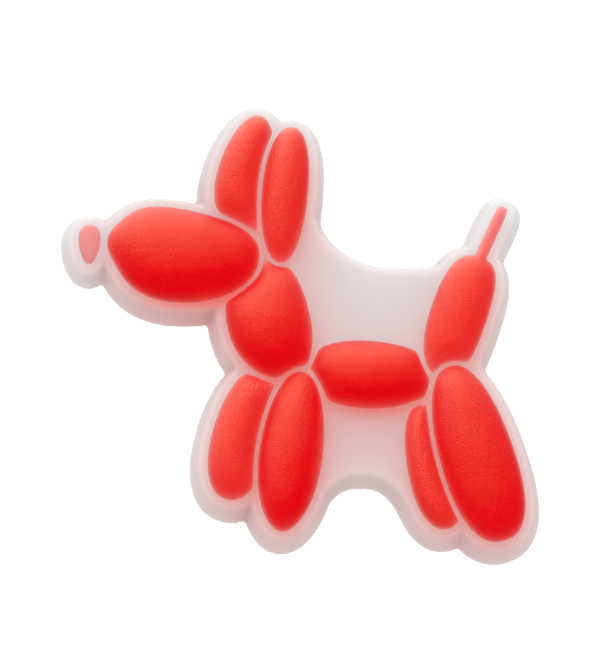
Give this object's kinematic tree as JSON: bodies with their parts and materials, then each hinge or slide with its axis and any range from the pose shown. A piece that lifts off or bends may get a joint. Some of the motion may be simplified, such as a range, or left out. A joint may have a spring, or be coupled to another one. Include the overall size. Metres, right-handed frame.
{
  "type": "balloon dog shoe charm",
  "caption": "Flat soft moulded shoe charm in the form of a twisted-balloon dog, with raised red balloons on a milky base and a mushroom stud behind.",
  "frame": {"origin": "centre of the underside of the stud's disc, on which the charm lies face up", "axes": "+Z out of the face, +X from the dog's nose towards its tail, +Y from its feet towards its ears"},
  "size_m": [0.036, 0.035, 0.0112],
  "materials": {
    "milky_pvc": "matte, milky translucent soft PVC",
    "red_pvc": "satin, slightly translucent red soft PVC",
    "pale_red_pvc": "satin, thin red soft PVC over the milky base"
  },
  "bodies": {
    "root": {"base": "milky_pvc", "nose": "pale_red_pvc", "head": "red_pvc", "near_ear": "red_pvc", "far_ear": "red_pvc", "neck": "red_pvc", "body": "red_pvc", "far_foreleg": "red_pvc", "near_foreleg": "red_pvc", "far_hind_leg": "red_pvc", "near_hind_leg": "red_pvc", "tail": "red_pvc"}
  },
  "joints": []
}
